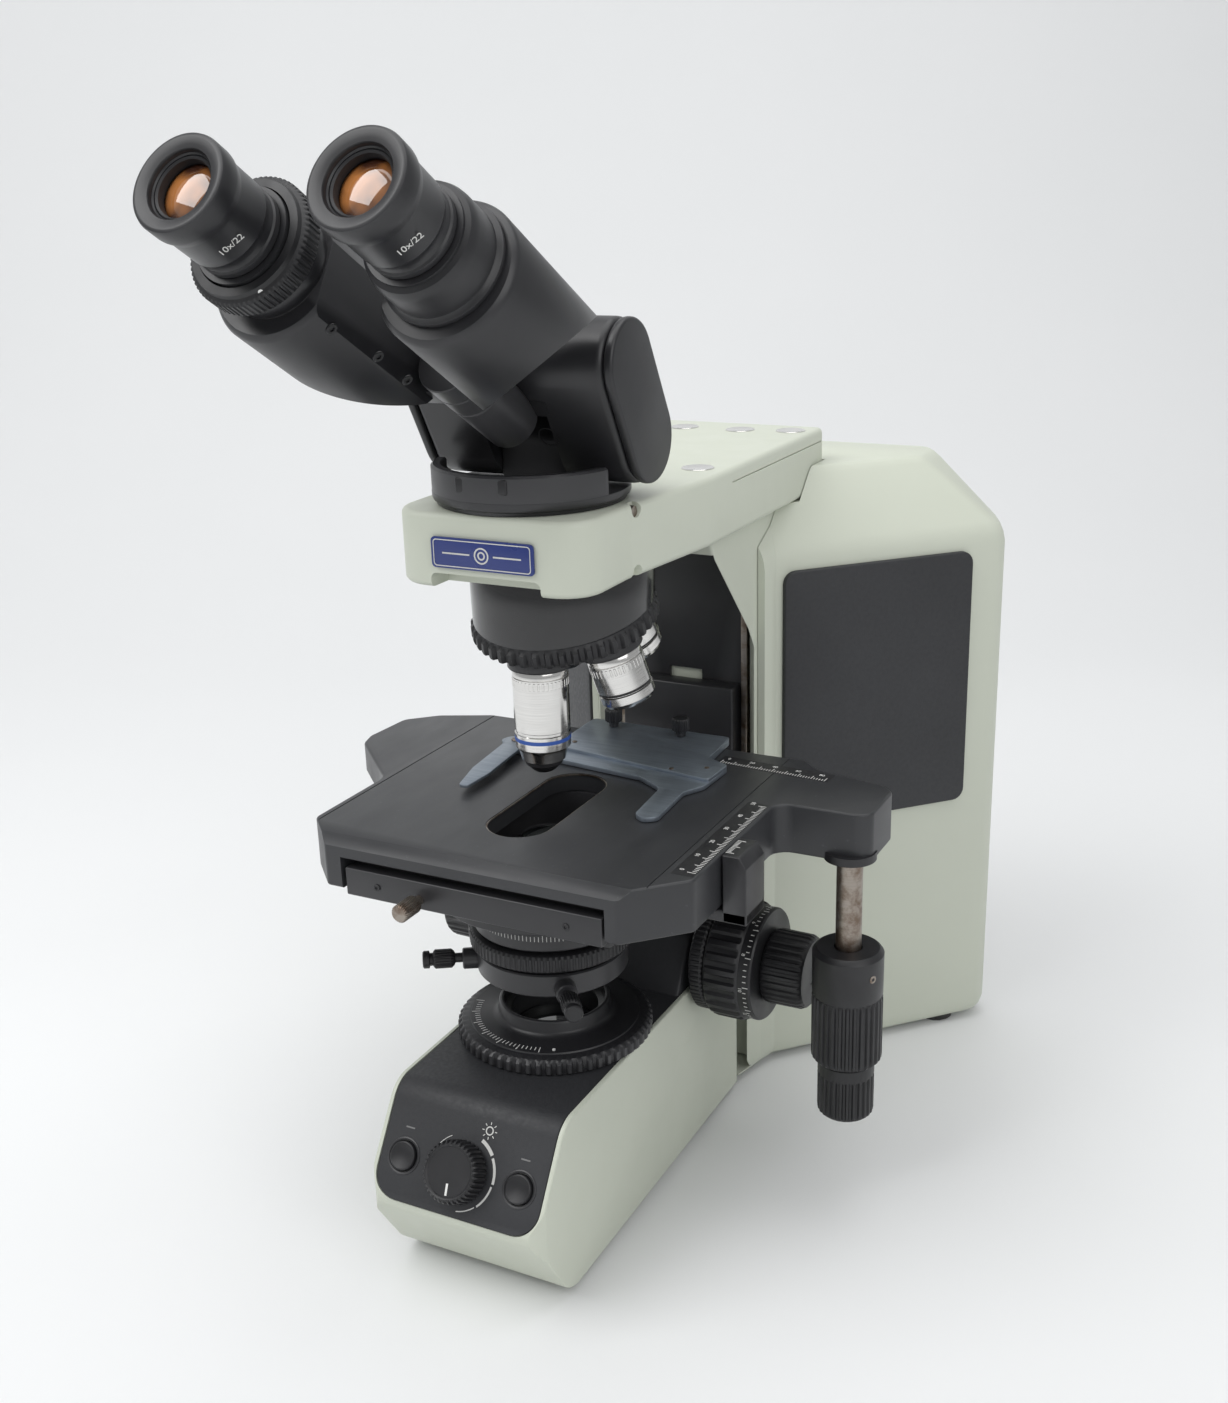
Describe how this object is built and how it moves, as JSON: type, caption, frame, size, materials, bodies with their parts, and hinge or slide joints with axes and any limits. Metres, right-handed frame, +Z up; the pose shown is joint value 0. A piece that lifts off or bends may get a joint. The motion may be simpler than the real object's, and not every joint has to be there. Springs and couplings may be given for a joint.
{
  "type": "laboratory microscope",
  "caption": "Upright laboratory microscope with a tilting binocular head, revolving nosepiece, mechanical stage with a hanging drive handle, condenser and coaxial focus knobs.",
  "frame": {"origin": "on the optical axis, level with the underside of the base plate", "axes": "+Z up, -Y towards the user, +X to the user's right"},
  "size_m": [0.308, 0.4672, 0.5262],
  "materials": {
    "cream_paint": "smooth pale grey-green paint",
    "satin_black": "satin black, worn on the edges",
    "knob_black": "ribbed black",
    "charcoal_panel": "fine grained charcoal",
    "chrome": "polished with printed bands",
    "worn_steel": "worn, slightly brown",
    "grey_anodised": "grey anodised",
    "lens_glass": "coated optical glass",
    "mirror": "polished",
    "board": "circuit board",
    "badge_blue": "plain blue badge"
  },
  "bodies": {
    "frame": {"base_housing": "cream_paint", "base_plate": "worn_steel", "control_panel": "charcoal_panel", "mirror_mount": "mirror", "lamp_board": "board", "field_lens": "lens_glass", "column": "cream_paint", "recess_cover": "charcoal_panel", "rear_cover": "cream_paint", "side_panel_left": "charcoal_panel", "side_panel_right": "charcoal_panel", "rear_panel": "charcoal_panel", "power_inlet": "charcoal_panel", "arm": "cream_paint", "head_clamp_screw": "worn_steel", "badge": "badge_blue", "nosepiece_mount": "satin_black"},
    "light_knob": {"light_knob": "knob_black"},
    "button_left": {"button_left": "knob_black"},
    "button_right": {"button_right": "knob_black"},
    "field_ring": {"field_ring": "satin_black"},
    "power_switch": {"power_switch": "charcoal_panel"},
    "turret": {"turret": "satin_black", "objective_long": "chrome", "objective_medium": "chrome", "objective_short": "chrome", "objective_scan": "chrome"},
    "head": {"head_flange": "satin_black"},
    "tilt": {"tilt_block": "satin_black", "side_caps": "satin_black"},
    "swing_right": {"prism_housing_right": "satin_black", "eyepiece_right": "knob_black", "eyepiece_lens_right": "lens_glass"},
    "swing_left": {"prism_housing_left": "satin_black", "eyepiece_left": "knob_black", "eyepiece_lens_left": "lens_glass"},
    "dioptre_ring": {"dioptre_ring": "knob_black"},
    "stage_lift": {"stage_carrier": "satin_black", "stage_base": "satin_black"},
    "stage_lock": {"stage_lock_screw": "worn_steel"},
    "stage_plate": {"stage_top": "satin_black"},
    "x_drive": {"stage_x_knob": "knob_black", "handle_shaft": "worn_steel"},
    "y_drive": {"stage_y_knob": "knob_black"},
    "slide_holder": {"slide_holder": "grey_anodised", "thumb_screw_left": "knob_black", "thumb_screw_right": "knob_black"},
    "spring_finger": {"spring_finger": "grey_anodised"},
    "coarse_drive": {"coarse_knob_left": "knob_black", "coarse_knob_right": "knob_black", "pinion_shaft": "worn_steel"},
    "fine_drive": {"fine_knobs": "knob_black"},
    "tension_ring": {"tension_ring": "knob_black"},
    "condenser_drive": {"condenser_knob": "knob_black"},
    "condenser": {"condenser_holder": "satin_black", "condenser_body": "satin_black", "condenser_lens": "lens_glass"},
    "aperture_ring": {"aperture_ring": "knob_black"},
    "centring_screw_left": {"centring_screw_left": "knob_black"},
    "centring_screw_right": {"centring_screw_right": "knob_black"}
  },
  "joints": [
    {"name": "light_knob_turn", "type": "hinge", "parent": "frame", "child": "light_knob", "pos_m": [0, -0.09426, 0.06381], "axis": [0, -0.8354, 0.5496], "range_deg": [-135, 135]},
    {"name": "button_left_press", "type": "slide", "parent": "frame", "child": "button_left", "axis": [0, 0.8354, -0.5496], "range_m": [0, 0.0012], "stiffness_N_per_m": 800, "springref_m": -0.0015},
    {"name": "button_right_press", "type": "slide", "parent": "frame", "child": "button_right", "axis": [0, 0.8354, -0.5496], "range_m": [0, 0.0012], "stiffness_N_per_m": 800, "springref_m": -0.0015},
    {"name": "field_ring_turn", "type": "hinge", "parent": "frame", "child": "field_ring", "pos_m": [0, 0, 0.1], "axis": [0, 0, 1], "range_deg": [-45, 45]},
    {"name": "power_switch_rock", "type": "hinge", "parent": "frame", "child": "power_switch", "pos_m": [0.039, 0.28, 0.041], "axis": [1, 0, 0], "range_deg": [0, 14]},
    {"name": "turret_turn", "type": "hinge", "parent": "frame", "child": "turret", "pos_m": [0, 0.027, 0.298], "axis": [0, -0.2588, 0.9659], "continuous": true},
    {"name": "head_swivel", "type": "hinge", "parent": "frame", "child": "head", "pos_m": [0, 0, 0.364], "axis": [0, 0, 1], "continuous": true},
    {"name": "head_tilt", "type": "hinge", "parent": "head", "child": "tilt", "pos_m": [0, 0.015, 0.391], "axis": [1, 0, 0], "range_deg": [-3.5, 17]},
    {"name": "swing_right_turn", "type": "hinge", "parent": "tilt", "child": "swing_right", "pos_m": [0, -0.17498, 0.49898], "axis": [0, -0.8526, 0.5225], "range_deg": [0, 38]},
    {"name": "swing_left_turn", "type": "hinge", "parent": "tilt", "child": "swing_left", "pos_m": [0, -0.17498, 0.49898], "axis": [0, -0.8526, 0.5225], "range_deg": [-38, 0]},
    {"name": "dioptre_turn", "type": "hinge", "parent": "swing_left", "child": "dioptre_ring", "pos_m": [-0.038, -0.1708, 0.5058], "axis": [0, -0.8526, 0.5225], "range_deg": [-60, 60]},
    {"name": "stage_focus", "type": "slide", "parent": "frame", "child": "stage_lift", "axis": [0, 0, 1], "range_m": [-0.006, 0.01]},
    {"name": "coarse_turn", "type": "hinge", "parent": "frame", "child": "coarse_drive", "pos_m": [0, 0.082, 0.105], "axis": [1, 0, 0], "range_deg": [-125, 206]},
    {"name": "fine_turn", "type": "hinge", "parent": "frame", "child": "fine_drive", "pos_m": [0, 0.082, 0.105], "axis": [1, 0, 0], "continuous": true},
    {"name": "tension_turn", "type": "hinge", "parent": "frame", "child": "tension_ring", "pos_m": [0, 0.082, 0.105], "axis": [1, 0, 0], "range_deg": [-60, 60]},
    {"name": "condenser_height", "type": "slide", "parent": "stage_lift", "child": "condenser", "axis": [0, 0, 1], "range_m": [-0.01, 0.005]},
    {"name": "condenser_knob_turn", "type": "hinge", "parent": "stage_lift", "child": "condenser_drive", "pos_m": [0, 0.132, 0.156], "axis": [1, 0, 0], "range_deg": [-75, 40]},
    {"name": "aperture_turn", "type": "hinge", "parent": "condenser", "child": "aperture_ring", "pos_m": [0, 0, 0.147], "axis": [0, 0, 1], "range_deg": [-40, 40]},
    {"name": "centring_left_turn", "type": "hinge", "parent": "condenser", "child": "centring_screw_left", "pos_m": [0, 0, 0.1336], "axis": [-0.848, -0.5299, 0], "range_deg": [-170, 170]},
    {"name": "centring_right_turn", "type": "hinge", "parent": "condenser", "child": "centring_screw_right", "pos_m": [0, 0, 0.1336], "axis": [0.6157, -0.788, 0], "range_deg": [-170, 170]},
    {"name": "stage_y", "type": "slide", "parent": "stage_lift", "child": "stage_plate", "axis": [0, 1, 0], "range_m": [-0.026, 0.026]},
    {"name": "y_knob_turn", "type": "hinge", "parent": "stage_plate", "child": "y_drive", "pos_m": [0.136, 0.055, 0.1], "axis": [0, 0, 1], "range_deg": [-170, 170]},
    {"name": "stage_x", "type": "slide", "parent": "stage_plate", "child": "slide_holder", "axis": [1, 0, 0], "range_m": [-0.038, 0.038]},
    {"name": "x_knob_turn", "type": "hinge", "parent": "stage_plate", "child": "x_drive", "pos_m": [0.136, 0.055, 0.06], "axis": [0, 0, 1], "range_deg": [-245, 245]},
    {"name": "stage_lock_turn", "type": "hinge", "parent": "stage_lift", "child": "stage_lock", "pos_m": [-0.027, -0.074, 0.189], "axis": [0, 1, 0], "range_deg": [-90, 90]},
    {"name": "spring_finger_open", "type": "hinge", "parent": "slide_holder", "child": "spring_finger", "pos_m": [-0.054, 0.064, 0.216], "axis": [0, 0, 1], "range_deg": [-35, 0], "stiffness_Nm_per_rad": 0.05, "springref_deg": 17.19}
  ],
  "couplings": [
    {"joint": "swing_left_turn", "follows": "swing_right_turn", "ratio": -1},
    {"joint": "coarse_turn", "follows": "stage_focus", "rad_per_m": 353},
    {"joint": "condenser_knob_turn", "follows": "condenser_height", "rad_per_m": 125},
    {"joint": "y_knob_turn", "follows": "stage_y", "rad_per_m": 111},
    {"joint": "x_knob_turn", "follows": "stage_x", "rad_per_m": 111}
  ]
}
